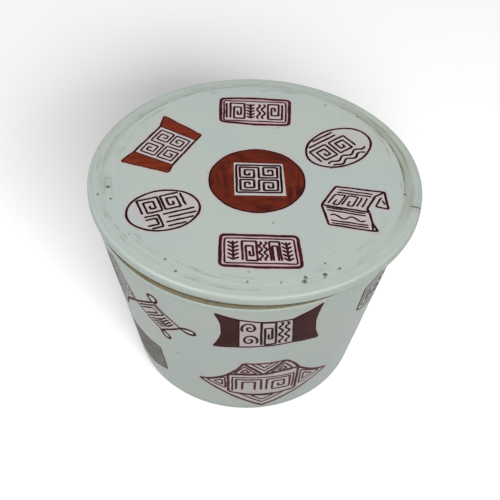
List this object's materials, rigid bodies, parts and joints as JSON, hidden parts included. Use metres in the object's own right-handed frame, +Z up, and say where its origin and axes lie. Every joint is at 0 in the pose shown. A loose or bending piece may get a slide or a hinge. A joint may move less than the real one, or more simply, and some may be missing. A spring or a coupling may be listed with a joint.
{
  "type": "seal paste box",
  "caption": "Round tapered porcelain box with a flat overhanging lid on a locating ring, holding a domed cake of red seal paste, painted with small framed panels.",
  "frame": {"origin": "centre of the foot ring, on the plane that the box stands on", "axes": "+Z up along the box's own turning axis; the lid is lifted along +Z; -Y is the side that faces the viewer and +X is to its right"},
  "size_m": [0.09, 0.091, 0.0592],
  "materials": {
    "porcelain": "gloss",
    "seal_paste": "satin",
    "red_enamel": "satin",
    "line_enamel": "satin"
  },
  "bodies": {
    "box": {"box_body": "porcelain", "seal_paste": "seal_paste"},
    "lid": {"lid": "porcelain"}
  },
  "joints": [
    {"name": "lid_lift", "type": "slide", "parent": "box", "child": "lid", "axis": [0, 0, 1], "range_m": [0, 0.07]}
  ]
}
